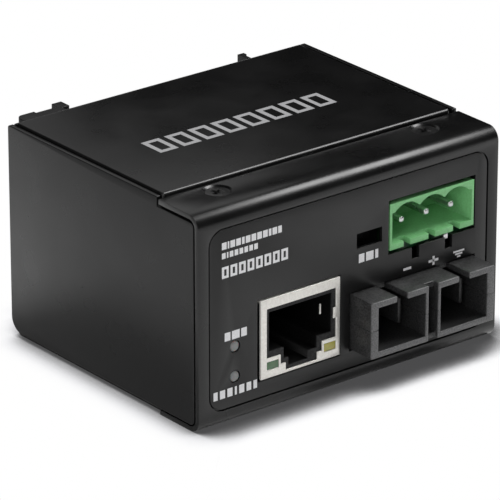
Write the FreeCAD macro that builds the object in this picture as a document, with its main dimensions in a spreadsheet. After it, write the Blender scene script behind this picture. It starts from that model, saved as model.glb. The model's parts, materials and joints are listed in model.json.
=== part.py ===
import FreeCAD, Part
import os
import re
from FreeCAD import Placement, Rotation, Vector

# DIN-rail fibre media converter.  Millimetres; origin at the middle of the base, front faces -Y, +Z up.

doc = FreeCAD.newDocument("media_converter")
sheet = doc.addObject("Spreadsheet::Sheet", "sizes")

SIZES = {
    # case
    "case_width": 60.0,
    "case_depth": 48.7,
    "case_height": 36.5,
    "skin": 0.8,                # sheet steel thickness of every case part
    "seam": 0.45,               # open joint between the covers and the side panels
    "lid_gap": 0.5,             # open joint beside the lid, on average
    "lid_shift": 0.3,           # the lid sits this far to the left
    "flange_drop": 0.65,        # front cover flange lies this far below the lid
    "lid_start": 9.8,           # front edge of the lid behind the front face
    "lid_joint": 0.1,           # joint between the lid and the front flange
    "lid_lip": 2.2,
    "side_drop": 0.35,          # side panel edge below the lid face
    "side_lift": 1.0,           # side panel edge above the base plane
    "front_bend": 2.2,
    "rear_bend": 1.4,
    "lid_bend": 0.3,
    "lid_nose": 0.6,
    "panel_corner": 2.5,        # lower rear corner of a side panel
    "panel_top_corner": 0.5,
    "panel_step": 0.4,          # raised part of a panel starts this far behind the lid edge
    # front overlay in its shallow recess
    "recess_side": 2.0,
    "recess_foot": 0.55,        # flat left between the lower bend and the recess
    "recess_rim": 0.65,         # flat left between the recess and the upper bend
    "recess_depth": 0.45,
    "recess_corner": 2.75,
    "overlay_skin": 0.4,
    "overlay_gap": 0.25,
    "cut_gap": 0.25,            # clearance of a panel opening round what stands in it
    # case screws
    "screw_size": 3.0,
    "screw_head": 4.7,
    "screw_length": 4.0,
    "screw_fit": 0.1,
    "screw_back": 7.05,         # behind the front face
    "screw_side": 9.3,          # from the nearer side face
    "tab_length": 14.0,
    "tab_start": 4.2,
    "rear_screw_side": 4.8,
    "rear_screw_low": 8.5,
    "rear_tab": 8.5,
    # boards
    "board_skin": 1.6,
    "board_room": 2.5,          # from a board's rear edge to the back face
    "board_edge": 1.8,
    "lower_board": 6.0,         # top face of the lower board
    "post_size": 4.6,
    "post_hole": 2.5,
    "upper_drop": 15.65,        # top face of the upper board below the lid
    "cut_margin": 1.2,          # upper board cut-out beside the network socket
    "cut_space": 3.5,           # and behind it
    "post_inset": 5.0,          # from the side and from the boards' rear edge
    "post_step": 6.5,
    "post_margin": 4.5,
    "post_left": 5.5,
    "post_row_front": 14.0,
    # spread of the front parts: shares of the width the two sockets leave free
    "light_share": 0.3777,
    "jack_share": 0.6064,
    "fibre_share": 0.2527,
    # copper network socket
    "jack_width": 16.0,
    "jack_low": 6.2,
    "jack_high": 19.4,
    "jack_front": 0.7,          # stands proud of the front face
    "jack_length": 21.2,
    "jack_skin": 0.3,
    "jack_open_half": 6.5,
    "jack_open_top": 17.75,
    "jack_box_half": 3.75,
    "jack_box_top": 9.45,
    "jack_step_half": 2.75,
    "jack_step_top": 7.85,
    "jack_sill": 6.6,
    "plug_half": 5.85,
    "plug_top": 17.0,
    "plug_floor": 10.4,
    "plug_depth": 13.0,
    "latch_half": 2.95,
    "latch_floor": 8.5,
    "tab_half": 2.0,
    "tab_floor": 7.1,
    "jack_light_x": 5.3,
    "jack_light_z": 8.15,
    "jack_light_width": 2.4,
    "jack_light_height": 1.4,
    "contact_pitch": 1.016,
    "contact_width": 0.45,
    "contact_drop": 0.9,
    # duplex fibre port
    "fibre_width": 25.2,
    "fibre_low": 6.0,
    "fibre_high": 15.4,
    "fibre_front": 5.1,
    "nose_back": 8.0,
    "port_pitch": 12.7,
    "port_width": 9.7,
    "port_wall": 0.95,
    "port_rib": 0.5,
    "port_web_back": 0.7,
    "port_gap_depth": 1.3,      # open length of the gap between the two nose tops
    "key_width": 2.2,
    "transceiver_room": 16.0,   # from its rear face to the board's rear edge
    "sleeve_size": 3.2,
    "sleeve_bore": 2.5,
    "sleeve_front": 3.0,
    "latch_arm_x": 2.7,
    "latch_arm_width": 0.7,
    "latch_arm_height": 4.4,
    "latch_arm_front": 1.2,
    # power terminal header
    "header_shift": 3.43,       # right of the fibre port's middle
    "header_width": 17.45,
    "header_height": 8.0,
    "header_front": 0.5,
    "header_back": 11.5,
    "header_cavity": 8.4,
    "header_wall": 0.55,
    "header_floor": 0.95,
    "header_roof": 0.45,
    "arch_radius": 3.6,
    "notch_width": 1.4,
    "notch_depth": 1.7,
    "terminal_pitch": 5.08,
    "terminal_pin": 1.0,
    "terminal_rise": 4.05,      # pin axis above the upper board
    "terminal_tip": 0.85,
    "header_slot_width": 1.5,
    "header_slot_x": 3.4,
    "header_slot_share": 0.4128,  # of the height between the fibre port and the header
    # two-way selector switch
    "selector_shift": 12.35,    # left of the header's middle
    "selector_window": 5.1,
    "selector_sill": 1.85,      # window's lower edge above the upper board
    "selector_window_height": 2.5,
    "selector_width": 6.6,
    "selector_height": 6.0,
    "selector_front": 2.4,
    "selector_back": 8.4,
    "selector_pitch": 2.54,
    "lever_width": 1.1,
    "lever_height": 1.0,
    "lever_gap": 0.05,
    "lever_travel": 1.1,
    "lever_rest": 0.25,         # underside of a lever at its lower stop, above the window's edge
    # status lights
    "light_size": 1.9,
    "light_upper": 12.9,
    "light_lower": 7.85,
    "light_length": 5.0,
    # parts on the boards
    "media_chip_width": 10.0,
    "media_chip_depth": 10.0,
    "media_chip_height": 1.4,
    "line_transformer_width": 12.0,
    "line_transformer_depth": 6.5,
    "line_transformer_height": 4.6,
    "clock_crystal_width": 3.2,
    "clock_crystal_depth": 5.0,
    "clock_crystal_height": 1.0,
    "power_module_width": 16.0,
    "power_module_depth": 11.0,
    "power_module_height": 8.0,
    "power_inductor_width": 6.0,
    "power_inductor_depth": 6.0,
    "power_inductor_height": 3.2,
    "surge_guard_width": 6.5,
    "surge_guard_depth": 4.2,
    "surge_guard_height": 2.6,
    "switch_regulator_width": 5.0,
    "switch_regulator_depth": 4.0,
    "switch_regulator_height": 1.6,
    "board_link_width": 20.4,
    "board_link_depth": 2.5,
    "chip_left": 12.0,
    "chip_gap": 1.5,
    "crystal_gap": 0.5,
    "module_y": 15.5,
    "module_reach": 14.08,      # left of the header's middle
    "guard_y": 13.2,
    "guard_gap": 2.6,
    "inductor_edge": 9.0,       # from the right face
    "regulator_y": 31.0,
    "capacitor_size": 6.3,
    "capacitor_height": 7.7,
    "capacitor_y": 33.0,
    "capacitor_step": 7.5,
    "capacitor_edge": 10.5,     # axis of the last one from the right face
    # rail clip
    "clip_low": 2.1,            # from the base, and from the lid
    "clip_skin": 2.6,
    "clip_left_reach": 4.4,     # beyond the rail's edge
    "rail_width": 35.0,
    "rail_shift": 1.7,          # right of the case's middle
    "rail_gap": 0.3,
    "hook_pocket": 1.7,         # room beyond the rail's right edge, for hooking on
    "hook_space": 1.2,
    "hook_nose": 1.9,
    "hook_skin": 2.2,
    "hook_wall": 0.8,
    "hook_bead": 0.5,
    "hook_inset": 3.0,          # hook nose shorter than the plate, at each end
    "latch_space": 1.9,
    "latch_nose": 1.2,
    "latch_nose_root": 0.4,
    "latch_nose_skin": 2.3,
    "latch_bar_skin": 2.45,
    "latch_bar_reach": 5.3,     # beyond the rail's edge
    "latch_tab_reach": 8.5,
    "latch_tab_front": 1.5,
    "latch_tab_skin": 4.3,
    "tongue_reach": 6.6,        # inside the rail's edge
    "channel_reach": 13.6,
    "tongue_neck": 10.0,
    "tongue_neck_skin": 0.8,
    "tongue_foot": 14.0,
    "tongue_foot_skin": 0.8,
    "slide_gap": 0.15,
    "spring_strip": 0.3,
    "spring_half": 5.0,
    "clip_screw_x": 6.0,        # from the middle of the rail
    "clip_screw_z": 10.0,       # above and below the middle of the latch
    "clip_screw_length": 5.0,
}

for row, (name, value) in enumerate(SIZES.items(), 1):
    sheet.set("A%d" % row, name)
    sheet.set("B%d" % row, str(value))
    sheet.setAlias("B%d" % row, name)
doc.recompute()

# Planes and levels that follow from the sizes
LINES = {
    "left": "(-case_width/2)",
    "right": "(case_width/2)",
    "front": "(-case_depth/2)",
    "back": "(case_depth/2)",
    "flange_top": "(case_height - flange_drop)",
    "flange_end": "(lid_start - lid_joint)",
    "inner_back": "(case_depth - skin)",
    "lid_left": "(skin + lid_gap - lid_shift)",
    "lid_right": "(case_width - skin - lid_gap - lid_shift)",
    "side_front": "(skin + seam)",
    "recess_low": "(front_bend + recess_foot)",
    "recess_high": "(flange_top - front_bend - recess_rim)",
    "panel_face": "(recess_depth - overlay_skin)",
    "board_back": "(case_depth - board_room)",
    "upper_board": "(case_height - upper_drop)",
    "upper_cut_x": "(jack_x + jack_width/2 + cut_margin)",
    "upper_cut_y": "(jack_length - jack_front + cut_space)",
    "post_right": "(case_width - post_inset)",
    "post_row_a": "(upper_cut_y + post_margin)",
    "post_row_b": "(board_back - post_inset)",
    "post_row_c": "(post_row_b - post_step)",
    "transceiver_back": "(board_back - transceiver_room)",
    "rear_screw_high": "(case_height - rear_screw_low)",
    "power_left": "(header_x - module_reach)",
    "power_right": "(case_width - inductor_edge)",
    "transformer_y": "(board_back - line_transformer_depth - chip_gap)",
    "lower_under": "(lower_board - board_skin)",
    "upper_under": "(upper_board - board_skin)",
    "fibre_mid": "((fibre_low + fibre_high)/2)",
    "front_spare": "(case_width - jack_width - fibre_width)",
    "light_x": "(front_spare*light_share)",
    "jack_x": "(front_spare*jack_share + jack_width/2)",
    "fibre_x": "(case_width - front_spare*fibre_share - fibre_width/2)",
    "header_x": "(fibre_x + header_shift)",
    "selector_x": "(header_x - selector_shift)",
    "selector_low": "(upper_board + selector_sill)",
    "lever_z": "(selector_low + lever_rest)",
    "terminal_z": "(upper_board + terminal_rise)",
    "bearing": "(case_depth + clip_skin)",
    "rail_x": "(case_width/2 + rail_shift)",
    "clip_high": "(case_height - clip_low)",
    "clip_left": "(rail_left - clip_left_reach)",
    "hook_root": "(rail_right + hook_pocket)",
    "clip_right": "(hook_root + hook_wall)",
    "latch_bar_left": "(rail_left - latch_bar_reach)",
    "latch_tab_left": "(rail_left - latch_tab_reach)",
    "tongue_end": "(rail_left + tongue_reach)",
    "channel_end": "(rail_left + channel_reach)",
    "rail_left": "(rail_x - rail_width/2)",
    "rail_right": "(rail_x + rail_width/2)",
    "latch_mid": "((clip_low + clip_high)/2)",
}


def expand(text):
    """Spell a size formula out in spreadsheet names."""
    text = str(text)
    while any(re.search(r"\b%s\b" % line, text) for line in LINES):
        text = re.sub(r"\b[a-z]\w*\b", lambda word: LINES.get(word.group(0), word.group(0)), text)
    return re.sub(r"\b[a-z]\w*\b", lambda word: ("sizes." if word.group(0) in SIZES else "")
                  + word.group(0), text)


def bind(item, **formulas):
    for name, formula in formulas.items():
        item.setExpression(name, expand(formula))


def place(item, x, y, z):
    for axis, formula in zip("xyz", (x, y, z)):
        item.setExpression("Placement.Base." + axis, expand(formula))


TURN = {"x": Rotation(Vector(0, 1, 0), 90), "y": Rotation(Vector(1, 0, 0), -90), "z": Rotation()}


def rod_base(axis, start, centre):
    """Start point of a rod: the plane it starts from and the two other co-ordinates."""
    spots = list(centre)
    spots.insert("xyz".index(axis), start)
    return spots


gauge = doc.addObject("Part::Vertex", "gauge")


def number(formula):
    """Present value of a size formula."""
    gauge.setExpression("X", expand(formula))
    gauge.recompute()
    return float(gauge.X)


class Piece:
    """One solid made in its own body; every length is given in case co-ordinates
    measured from the left face, the front face and the base plane."""

    def __init__(self, label, x="0", y="0", z="0"):
        self.base = ("(%s)" % x, "(%s)" % y, "(%s)" % z)
        self.body = doc.addObject("PartDesign::Body", label)
        self.body.Label = label
        place(self.body, "left + " + self.base[0], "front + " + self.base[1], self.base[2])

    def feature(self, kind):
        return self.body.newObject("PartDesign::" + kind, self.body.Name + "_" + kind.lower())

    def local(self, values):
        return ["(%s) - %s" % (value, base) for value, base in zip(values, self.base)]

    def box(self, x, y, z, cut=False):
        block = self.feature("SubtractiveBox" if cut else "AdditiveBox")
        bind(block, Length="(%s) - (%s)" % (x[1], x[0]), Width="(%s) - (%s)" % (y[1], y[0]),
             Height="(%s) - (%s)" % (z[1], z[0]))
        place(block, *self.local((x[0], y[0], z[0])))
        return self

    def rod(self, axis, size, start, end, centre, cut=False):
        rod = self.feature("SubtractiveCylinder" if cut else "AdditiveCylinder")
        rod.Placement = Placement(Vector(), TURN[axis])
        bind(rod, Radius="(%s)/2" % size, Height="(%s) - (%s)" % (end, start))
        place(rod, *self.local(rod_base(axis, start, centre)))
        return self

    def cone(self, axis, size, end_size, start, end, centre, cut=False):
        cone = self.feature("SubtractiveCone" if cut else "AdditiveCone")
        cone.Placement = Placement(Vector(), TURN[axis])
        bind(cone, Radius1="(%s)/2" % size, Radius2="(%s)/2" % end_size,
             Height="(%s) - (%s)" % (end, start))
        place(cone, *self.local(rod_base(axis, start, centre)))
        return self

    def edges(self, axis, **at):
        """Straight edges along an axis whose other co-ordinates lie on the given planes."""
        doc.recompute()
        at = {name: [number("(%s) - %s" % (value, self.base["xyz".index(name)])) for value in values]
              for name, values in at.items()}
        shape = self.body.Tip.Shape
        found = []
        for count, edge in enumerate(shape.Edges, 1):
            box = edge.BoundBox
            spans = {"x": box.XLength, "y": box.YLength, "z": box.ZLength}
            if spans[axis] < 1e-6 or any(spans[other] > 1e-6 for other in "xyz" if other != axis):
                continue
            spot = {"x": box.Center.x, "y": box.Center.y, "z": box.Center.z}
            if all(any(abs(spot[name] - value) < 1e-4 for value in values)
                   for name, values in at.items()):
                found.append("Edge%d" % count)
        return found

    def round(self, size, axis, **at):
        names = self.edges(axis, **at)
        tip = self.body.Tip
        fillet = self.feature("Fillet")
        fillet.Base = (tip, names)
        bind(fillet, Radius=size)
        return self


def solid_box(x, y, z):
    block = doc.addObject("Part::Box", "block")
    bind(block, Length="(%s) - (%s)" % (x[1], x[0]), Width="(%s) - (%s)" % (y[1], y[0]),
         Height="(%s) - (%s)" % (z[1], z[0]))
    place(block, x[0], y[0], z[0])
    return block


def solid_rod(axis, size, start, end, centre, end_size=None):
    rod = doc.addObject("Part::Cone" if end_size else "Part::Cylinder", "rod")
    rod.Placement = Placement(Vector(), TURN[axis])
    if end_size:
        bind(rod, Radius1="(%s)/2" % size, Radius2="(%s)/2" % end_size)
    else:
        bind(rod, Radius="(%s)/2" % size)
    bind(rod, Height="(%s) - (%s)" % (end, start))
    place(rod, *rod_base(axis, start, centre))
    return rod


def joined(*parts):
    whole = doc.addObject("Part::MultiFuse", "joined")
    whole.Shapes = list(parts)
    return whole


def holed(part, hole):
    whole = doc.addObject("Part::Cut", "holed")
    whole.Base, whole.Tool = part, hole
    return whole


def group(label, members):
    """Like pieces kept together as one node, placed from the front left corner of the case."""
    whole = doc.addObject("Part::Compound", label)
    whole.Label = label
    whole.Links = members
    place(whole, "left", "front", "0")
    return whole


nodes = []


def node(item):
    nodes.append(item.body if isinstance(item, Piece) else item)
    return item


FULL = ("0", "case_width")

# ---------------------------------------------------------------- case openings, cut alike in cover and overlay

JACK = ("jack_x - jack_width/2", "jack_x + jack_width/2")
FIBRE = ("fibre_x - fibre_width/2", "fibre_x + fibre_width/2")
HEADER = ("header_x - header_width/2", "header_x + header_width/2")
HEADER_TOP = "upper_board + header_height"


def widened(span, gap="cut_gap"):
    return ("%s - %s" % (span[0], gap), "%s + %s" % (span[1], gap))


def cut_openings(piece, depth):
    piece.box(widened(JACK), depth, ("jack_low - cut_gap", "jack_high + cut_gap"), cut=True)
    piece.box(widened(FIBRE), depth, ("fibre_low - cut_gap", "fibre_high + cut_gap"), cut=True)
    piece.box(widened(HEADER), depth, ("upper_board - cut_gap", HEADER_TOP + " + cut_gap"), cut=True)
    for side in "-+":
        middle = "header_x %s header_slot_x" % side
        piece.box((middle + " - header_slot_width/2", middle + " + header_slot_width/2"), depth,
                  ("upper_board - header_slot_share*(upper_board - fibre_high)", "upper_board"), cut=True)
    piece.box(("selector_x - selector_window/2", "selector_x + selector_window/2"), depth,
              ("selector_low", "selector_low + selector_window_height"), cut=True)
    for level in ("light_upper", "light_lower"):
        piece.rod("y", "light_size + screw_fit", depth[0], depth[1], ("light_x", level), cut=True)


# ---------------------------------------------------------------- front cover

TOP_SCREWS = ("screw_side", "case_width - screw_side")

cover = Piece("front_cover")
cover.box(FULL, ("0", "flange_end"), ("0", "flange_top"))
cover.box(FULL, ("skin", "flange_end"), ("skin", "flange_top - skin"), cut=True)
cover.round("front_bend", "x", y=["0"], z=["0", "flange_top"])
cover.round("front_bend - skin", "x", y=["skin"], z=["skin", "flange_top - skin"])
cover.box(("recess_side", "case_width - recess_side"), ("0", "recess_depth"),
          ("recess_low", "recess_high"), cut=True)
cover.round("recess_corner", "y", x=["recess_side", "case_width - recess_side"],
            z=["recess_low", "recess_high"])
cut_openings(cover, ("recess_depth", "skin"))
for x in TOP_SCREWS:
    cover.cone("z", "screw_size", "screw_head", "flange_top - skin", "flange_top", (x, "screw_back"), cut=True)
    cover.cone("z", "screw_head", "screw_size", "0", "skin", (x, "screw_back"), cut=True)
node(cover)

overlay = Piece("front_overlay", "recess_side", "panel_face", "recess_low")
overlay.box(("recess_side + overlay_gap", "case_width - recess_side - overlay_gap"),
            ("panel_face", "recess_depth"), ("recess_low + overlay_gap", "recess_high - overlay_gap"))
overlay.round("recess_corner - overlay_gap", "y",
              x=["recess_side + overlay_gap", "case_width - recess_side - overlay_gap"],
              z=["recess_low + overlay_gap", "recess_high - overlay_gap"])
cut_openings(overlay, ("panel_face", "recess_depth"))
node(overlay)

# ---------------------------------------------------------------- top, back and bottom in one bent sheet

LID = ("lid_left", "lid_right")
CLIP_SCREWS = [("rail_x + clip_screw_x", "latch_mid %s clip_screw_z" % side) for side in "-+"]
wrap = Piece("rear_wrap", "lid_left", "lid_start", "0")
wrap.box(LID, ("lid_start", "case_depth"), ("0", "case_height"))
wrap.box(LID, ("lid_start", "inner_back"), ("skin", "case_height - skin"), cut=True)
wrap.round("rear_bend", "x", y=["case_depth"], z=["0", "case_height"])
wrap.round("rear_bend - skin", "x", y=["inner_back"], z=["skin", "case_height - skin"])
lip_low = ("case_height - lid_lip", "case_height - skin")
ALONG = ("lid_start", "case_depth - rear_bend")
wrap.box(("lid_left", "lid_left + skin"), ALONG, lip_low)
wrap.box(("lid_right - skin", "lid_right"), ALONG, lip_low)
for span, middle in (((LID[0], LID[0] + " + lid_bend"), LID[0] + " + lid_bend"),
                     ((LID[1] + " - lid_bend", LID[1]), LID[1] + " - lid_bend")):
    wrap.box(span, ALONG, ("case_height - lid_bend", "case_height"), cut=True)
    wrap.rod("y", "2*lid_bend", ALONG[0], ALONG[1], (middle, "case_height - lid_bend"))
wrap.round("lid_nose", "x", y=["lid_start"], z=["case_height"])
for x in ("rear_screw_side", "case_width - rear_screw_side"):
    for z in ("rear_screw_low", "rear_screw_high"):
        wrap.cone("y", "screw_size", "screw_head", "inner_back", "case_depth", (x, z), cut=True)
for spot in CLIP_SCREWS:
    wrap.rod("y", "screw_size + screw_fit", "inner_back", "case_depth", spot, cut=True)
node(wrap)

# ---------------------------------------------------------------- side panels

PANEL_TOP = "case_height - side_drop"
SHOULDER = "flange_top - skin - seam"


def side_panel(label, edge, inward):
    """Flat panel with inward tabs; edge is its outer face, inward the sign towards the middle."""
    def span(start, end):
        ends = ["%s %s (%s)" % (edge, inward, start), "%s %s (%s)" % (edge, inward, end)]
        return tuple(ends if inward == "+" else reversed(ends))

    panel = Piece(label, span("0", "skin")[0], "side_front", "side_lift")
    panel.box(span("0", "skin"), ("side_front", "case_depth"), ("side_lift", PANEL_TOP))
    panel.box(span("0", "skin"), ("side_front", "lid_start + panel_step"), (SHOULDER, PANEL_TOP), cut=True)
    panel.round("panel_corner", "x", y=["case_depth"], z=["side_lift"])
    panel.round("panel_top_corner", "x", y=["case_depth"], z=[PANEL_TOP])
    panel.round("front_bend - skin - seam", "x", y=["side_front"], z=["side_lift", SHOULDER])
    reach = span("skin/2", "tab_length")
    flange = ("tab_start", "flange_end")
    panel.box(span("skin/2", "skin + lid_gap"), flange, ("flange_top - 2*skin", SHOULDER))
    panel.box(span("skin", "tab_length"), flange, ("flange_top - 2*skin", "flange_top - skin"))
    panel.box(span("skin", "tab_length"), flange, ("skin", "2*skin"))
    for z in ("rear_screw_low", "rear_screw_high"):
        panel.box(span("skin", "rear_tab"), ("inner_back - skin", "inner_back"),
                  ("%s - screw_size" % z, "%s + screw_size" % z))
        panel.rod("y", "screw_size + screw_fit", "inner_back - skin", "inner_back",
                  ("%s %s rear_screw_side" % (edge, inward), z), cut=True)
    x = TOP_SCREWS[0] if inward == "+" else TOP_SCREWS[1]
    panel.rod("z", "screw_size + screw_fit", "flange_top - 2*skin", "flange_top - skin",
              (x, "screw_back"), cut=True)
    panel.rod("z", "screw_size + screw_fit", "skin", "2*skin", (x, "screw_back"), cut=True)
    return node(panel)


side_panel("side_panel_left", "0", "+")
side_panel("side_panel_right", "case_width", "-")


# ---------------------------------------------------------------- case screws

def flush_screw(axis, face, inward, centre, length="screw_length"):
    """Countersunk screw whose head lies level with a face and whose shank points inward."""
    under, tip = "%s %s skin" % (face, inward), "%s %s %s" % (face, inward, length)
    if inward == "-":
        return joined(solid_rod(axis, "screw_size", under, face, centre, "screw_head"),
                      solid_rod(axis, "screw_size", tip, under, centre))
    return joined(solid_rod(axis, "screw_head", face, under, centre, "screw_size"),
                  solid_rod(axis, "screw_size", under, tip, centre))


node(group("top_screws", [flush_screw("z", "flange_top", "-", (x, "screw_back")) for x in TOP_SCREWS]))
node(group("bottom_screws", [flush_screw("z", "0", "+", (x, "screw_back")) for x in TOP_SCREWS]))
node(group("rear_screws", [flush_screw("y", "case_depth", "-", (x, z))
                           for x in ("rear_screw_side", "case_width - rear_screw_side")
                           for z in ("rear_screw_low", "rear_screw_high")]))

# ---------------------------------------------------------------- boards, posts and their screws

POSTS = [("post_left", "post_row_a"), ("post_left", "post_row_b"),
         ("post_right", "post_row_c"), ("post_right", "post_row_b")]
FRONT_POST = ("post_left", "post_row_front")
BOARD = ("board_edge", "case_width - board_edge")

lower = Piece("lower_board", "board_edge", "board_edge", "lower_under")
lower.box(BOARD, ("board_edge", "board_back"), ("lower_under", "lower_board"))
for spot in POSTS + [FRONT_POST]:
    lower.rod("z", "post_hole + screw_fit", "lower_under", "lower_board", spot, cut=True)
node(lower)

upper = Piece("upper_board", "board_edge", "board_edge", "upper_under")
upper.box(BOARD, ("board_edge", "board_back"), ("upper_under", "upper_board"))
upper.box(("board_edge", "upper_cut_x"), ("board_edge", "upper_cut_y"),
          ("upper_under", "upper_board"), cut=True)
for spot in POSTS:
    upper.rod("z", "post_hole + screw_fit", "upper_under", "upper_board", spot, cut=True)
node(upper)

node(group("base_posts", [holed(solid_rod("z", "post_size", "skin", "lower_under", spot),
                                solid_rod("z", "post_hole + screw_fit", "skin", "lower_under", spot))
                          for spot in POSTS + [FRONT_POST]]))
node(group("board_spacers", [joined(solid_rod("z", "post_size", "lower_board", "upper_under", spot),
                                    solid_rod("z", "post_hole", "2*skin", "lower_board", spot))
                             for spot in POSTS]))


def pan_screw(face, spot, length):
    return joined(solid_rod("z", "post_size", face, face + " + post_hole*0.7", spot),
                  solid_rod("z", "post_hole", "%s - (%s)" % (face, length), face, spot))


node(group("front_board_screw", [pan_screw("lower_board", FRONT_POST, "board_skin + 2*skin")]))

# ---------------------------------------------------------------- copper network socket

shield = Piece("jack_shield", JACK[0], "-jack_front", "jack_low")
shield.box(JACK, ("-jack_front", "jack_length - jack_front"), ("jack_low", "jack_high"))
shield.box(("jack_x - jack_width/2 + jack_skin", "jack_x + jack_width/2 - jack_skin"),
           ("jack_skin - jack_front", "jack_length - jack_front"),
           ("jack_low", "jack_high - jack_skin"), cut=True)
FACE = ("-jack_front", "jack_skin - jack_front")


def about(middle, half):
    return ("%s - %s" % (middle, half), "%s + %s" % (middle, half))


shield.box(about("jack_x", "jack_open_half"), FACE, ("jack_box_top", "jack_open_top"), cut=True)
shield.box(about("jack_x", "jack_box_half"), FACE, ("jack_step_top", "jack_box_top"), cut=True)
shield.box(about("jack_x", "jack_step_half"), FACE, ("jack_sill", "jack_step_top"), cut=True)
for side in "-+":
    shield.box(about("jack_x %s jack_light_x" % side, "jack_light_width/2"), FACE,
               about("jack_light_z", "jack_light_height/2"), cut=True)
node(shield)

INSIDE = "jack_width/2 - jack_skin"
housing = Piece("jack_housing", "jack_x - " + INSIDE, "jack_skin - jack_front", "lower_board")
housing.box(about("jack_x", "(%s)" % INSIDE), ("jack_skin - jack_front", "jack_length - 2*jack_front"),
            ("lower_board", "jack_high - jack_skin"))
PLUG = ("jack_skin - jack_front", "plug_depth")
housing.box(about("jack_x", "plug_half"), PLUG, ("plug_floor", "plug_top"), cut=True)
housing.box(about("jack_x", "latch_half"), PLUG, ("latch_floor", "plug_floor"), cut=True)
housing.box(about("jack_x", "tab_half"), PLUG, ("tab_floor", "latch_floor"), cut=True)
LIGHT_DEPTH = ("jack_skin - jack_front", "4*jack_light_width")
for side in "-+":
    housing.box(about("jack_x %s jack_light_x" % side, "jack_light_width/2"), LIGHT_DEPTH,
                about("jack_light_z", "jack_light_height/2"), cut=True)
node(housing)

contacts = [joined(
    solid_box(about("jack_x + %s*contact_pitch" % step, "contact_width/2"),
              ("plug_depth/4", "plug_depth"), ("plug_top - contact_width", "plug_top")),
    solid_box(about("jack_x + %s*contact_pitch" % step, "contact_width/2"),
              ("plug_depth/4", "plug_depth/4 + contact_width"), ("plug_top - contact_drop", "plug_top")))
    for step in ("(-3.5)", "(-2.5)", "(-1.5)", "(-0.5)", "0.5", "1.5", "2.5", "3.5")]
node(group("jack_contacts", contacts))

for label, side in (("jack_light_green", "-"), ("jack_light_yellow", "+")):
    light = Piece(label, "jack_x %s jack_light_x - jack_light_width/2" % side, "-jack_front", "jack_light_z")
    light.box(about("jack_x %s jack_light_x" % side, "jack_light_width/2"),
              ("0.1 - jack_front", "4*jack_light_width"), about("jack_light_z", "jack_light_height/2"))
    node(light)

# ---------------------------------------------------------------- duplex fibre port

PORTS = ("fibre_x - port_pitch/2", "fibre_x + port_pitch/2")
GAP = about("fibre_x", "(port_pitch/2 - port_width/2 - port_rib)")


def nose_shell(label, low, high, outer, inner):
    """Half of the port nose; outer is the wall level, inner the cavity level on its side."""
    shell = Piece(label, FIBRE[0], "-fibre_front", low)
    shell.box(FIBRE, ("-fibre_front", "nose_back"), (low, high))
    cavity = (low, inner) if outer == high else (inner, high)
    for middle in PORTS:
        shell.box(about(middle, "port_width/2"), ("-fibre_front", "nose_back"), cavity, cut=True)
    return shell


TOP_WALL = "fibre_high - port_wall - 0.05"
BASE_WALL = "fibre_low + port_wall"
nose_top = nose_shell("fibre_nose_upper", "fibre_mid", "fibre_high", "fibre_high", TOP_WALL)
nose_top.box(GAP, ("-fibre_front", "0"), ("fibre_mid", TOP_WALL), cut=True)
nose_top.box(GAP, ("-fibre_front", "port_gap_depth - fibre_front"), (TOP_WALL, "fibre_high"), cut=True)
for middle in PORTS:
    nose_top.box(about(middle, "key_width/2"), ("-fibre_front", "skin"), (TOP_WALL, "fibre_high"), cut=True)
node(nose_top)

nose_low = nose_shell("fibre_nose_lower", "fibre_low", "fibre_mid", "fibre_low", BASE_WALL)
nose_low.box(GAP, ("-fibre_front", "0"), (BASE_WALL, "fibre_mid"), cut=True)
nose_low.box(GAP, ("-fibre_front", "port_web_back - fibre_front"), ("fibre_low", BASE_WALL), cut=True)
node(nose_low)

transceiver = Piece("transceiver", FIBRE[0], "nose_back", "fibre_low")
transceiver.box(FIBRE, ("nose_back", "transceiver_back"), ("fibre_low", "fibre_high"))
for middle in PORTS:
    transceiver.box(about(middle, "port_width/2"), ("nose_back", "nose_back + 2*skin"),
                    (BASE_WALL, TOP_WALL), cut=True)
node(transceiver)

node(group("fibre_sleeves", [
    holed(solid_rod("y", "sleeve_size", "sleeve_front", "nose_back + 2*skin", (x, "fibre_mid")),
          solid_rod("y", "sleeve_bore", "sleeve_front", "nose_back", (x, "fibre_mid")))
    for x in PORTS]))
node(group("fibre_latches", [
    solid_box(about("%s %s latch_arm_x" % (x, side), "latch_arm_width/2"),
              ("-latch_arm_front", "nose_back + 2*skin"), about("fibre_mid", "latch_arm_height/2"))
    for x in PORTS for side in "-+"]))

# ---------------------------------------------------------------- power terminal header

PITCHES = ("(-1)", "0", "1")
header = Piece("terminal_header", HEADER[0], "-header_front", "upper_board")
header.box(HEADER, ("-header_front", "header_back"), ("upper_board", HEADER_TOP))
CAVITY = ("-header_front", "header_cavity")
ARCH_FOOT = HEADER_TOP + " - header_roof - 1.1"
header.box(("header_x - header_width/2 + header_wall", "header_x + header_width/2 - header_wall"),
           CAVITY, ("upper_board + header_floor", ARCH_FOOT), cut=True)
for step in PITCHES:
    middle = "header_x + %s*terminal_pitch" % step
    header.rod("y", "2*arch_radius", CAVITY[0], CAVITY[1],
               (middle, HEADER_TOP + " - header_roof - arch_radius"), cut=True)
    header.box(about(middle, "notch_width/2"), ("-header_front", "notch_depth - header_front"),
               ("upper_board", "upper_board + header_floor"), cut=True)
    header.box(about(middle, "terminal_pin/2"), ("header_cavity", "header_back - skin"),
               about("terminal_z", "terminal_pin/2"), cut=True)
    header.box(about(middle, "terminal_pin/2"),
               ("header_back - skin - terminal_pin", "header_back - skin"),
               ("upper_board", "terminal_z + terminal_pin/2"), cut=True)
node(header)

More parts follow.
